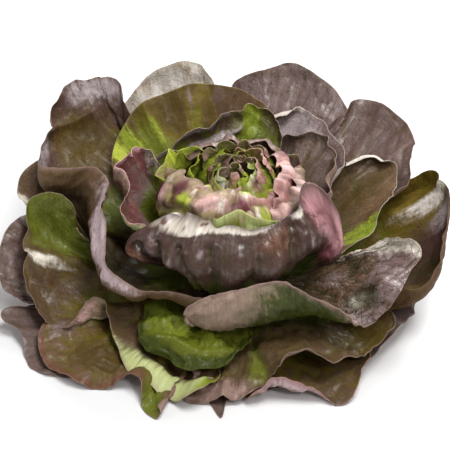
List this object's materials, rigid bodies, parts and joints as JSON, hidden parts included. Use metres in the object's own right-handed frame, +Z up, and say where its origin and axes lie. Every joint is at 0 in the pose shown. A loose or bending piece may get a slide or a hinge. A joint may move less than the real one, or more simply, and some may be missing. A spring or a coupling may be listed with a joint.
{
  "type": "head of lettuce",
  "caption": "Open head of red butterhead lettuce with broad blistered purple-brown and green leaves round a tight folded heart, cut at the stem and standing upright.",
  "frame": {"origin": "centre of the stem's cut face, which stands on the table", "axes": "+Z up along the stem from the cut to the heart; +X along the head's greatest width; +Y from the side where the large wrapping leaf lies to the opposite side"},
  "size_m": [0.2904, 0.2493, 0.1032],
  "materials": {
    "stem": "matt, moist white cut stem",
    "heart_leaf": "glossy crumpled young leaf, lime green flushed pink and purple",
    "purple_leaf": "glossy waxy leaf, dark purple with green ribs",
    "brown_leaf": "glossy blistered leaf, purple-brown over olive green",
    "green_leaf": "glossy blistered leaf, bright green",
    "old_leaf": "satin leaf, dull brown and olive"
  },
  "bodies": {
    "root": {"stem": "stem", "heart_leaf_01": "heart_leaf", "heart_leaf_02": "heart_leaf", "heart_leaf_03": "heart_leaf", "heart_leaf_04": "heart_leaf", "heart_leaf_05": "heart_leaf", "heart_leaf_06": "heart_leaf", "heart_leaf_07": "heart_leaf", "heart_leaf_08": "heart_leaf", "heart_leaf_09": "heart_leaf", "heart_leaf_10": "heart_leaf", "inner_leaf_left": "purple_leaf", "inner_leaf_back": "purple_leaf", "inner_leaf_right": "purple_leaf", "wrapper_leaf": "purple_leaf", "middle_leaf_back_left": "brown_leaf", "middle_leaf_back_right": "brown_leaf", "side_leaf_right": "green_leaf", "outer_leaf_back_left": "brown_leaf", "outer_leaf_right": "brown_leaf", "outer_leaf_upper_right": "brown_leaf", "outer_leaf_far_right": "brown_leaf", "outer_leaf_back_right": "brown_leaf", "outer_leaf_back": "brown_leaf", "low_leaf_front": "green_leaf", "outer_leaf_left": "brown_leaf", "small_leaf_left": "brown_leaf", "outer_leaf_front": "brown_leaf", "far_leaf_left": "brown_leaf", "outer_leaf_lower_left": "brown_leaf", "outer_leaf_lower_right": "brown_leaf", "low_leaf_left": "old_leaf", "under_leaf_front": "old_leaf", "low_leaf_back_left": "old_leaf", "low_leaf_back": "old_leaf", "low_leaf_back_right": "old_leaf", "low_leaf_right": "old_leaf", "under_leaf_back": "old_leaf"}
  },
  "joints": []
}
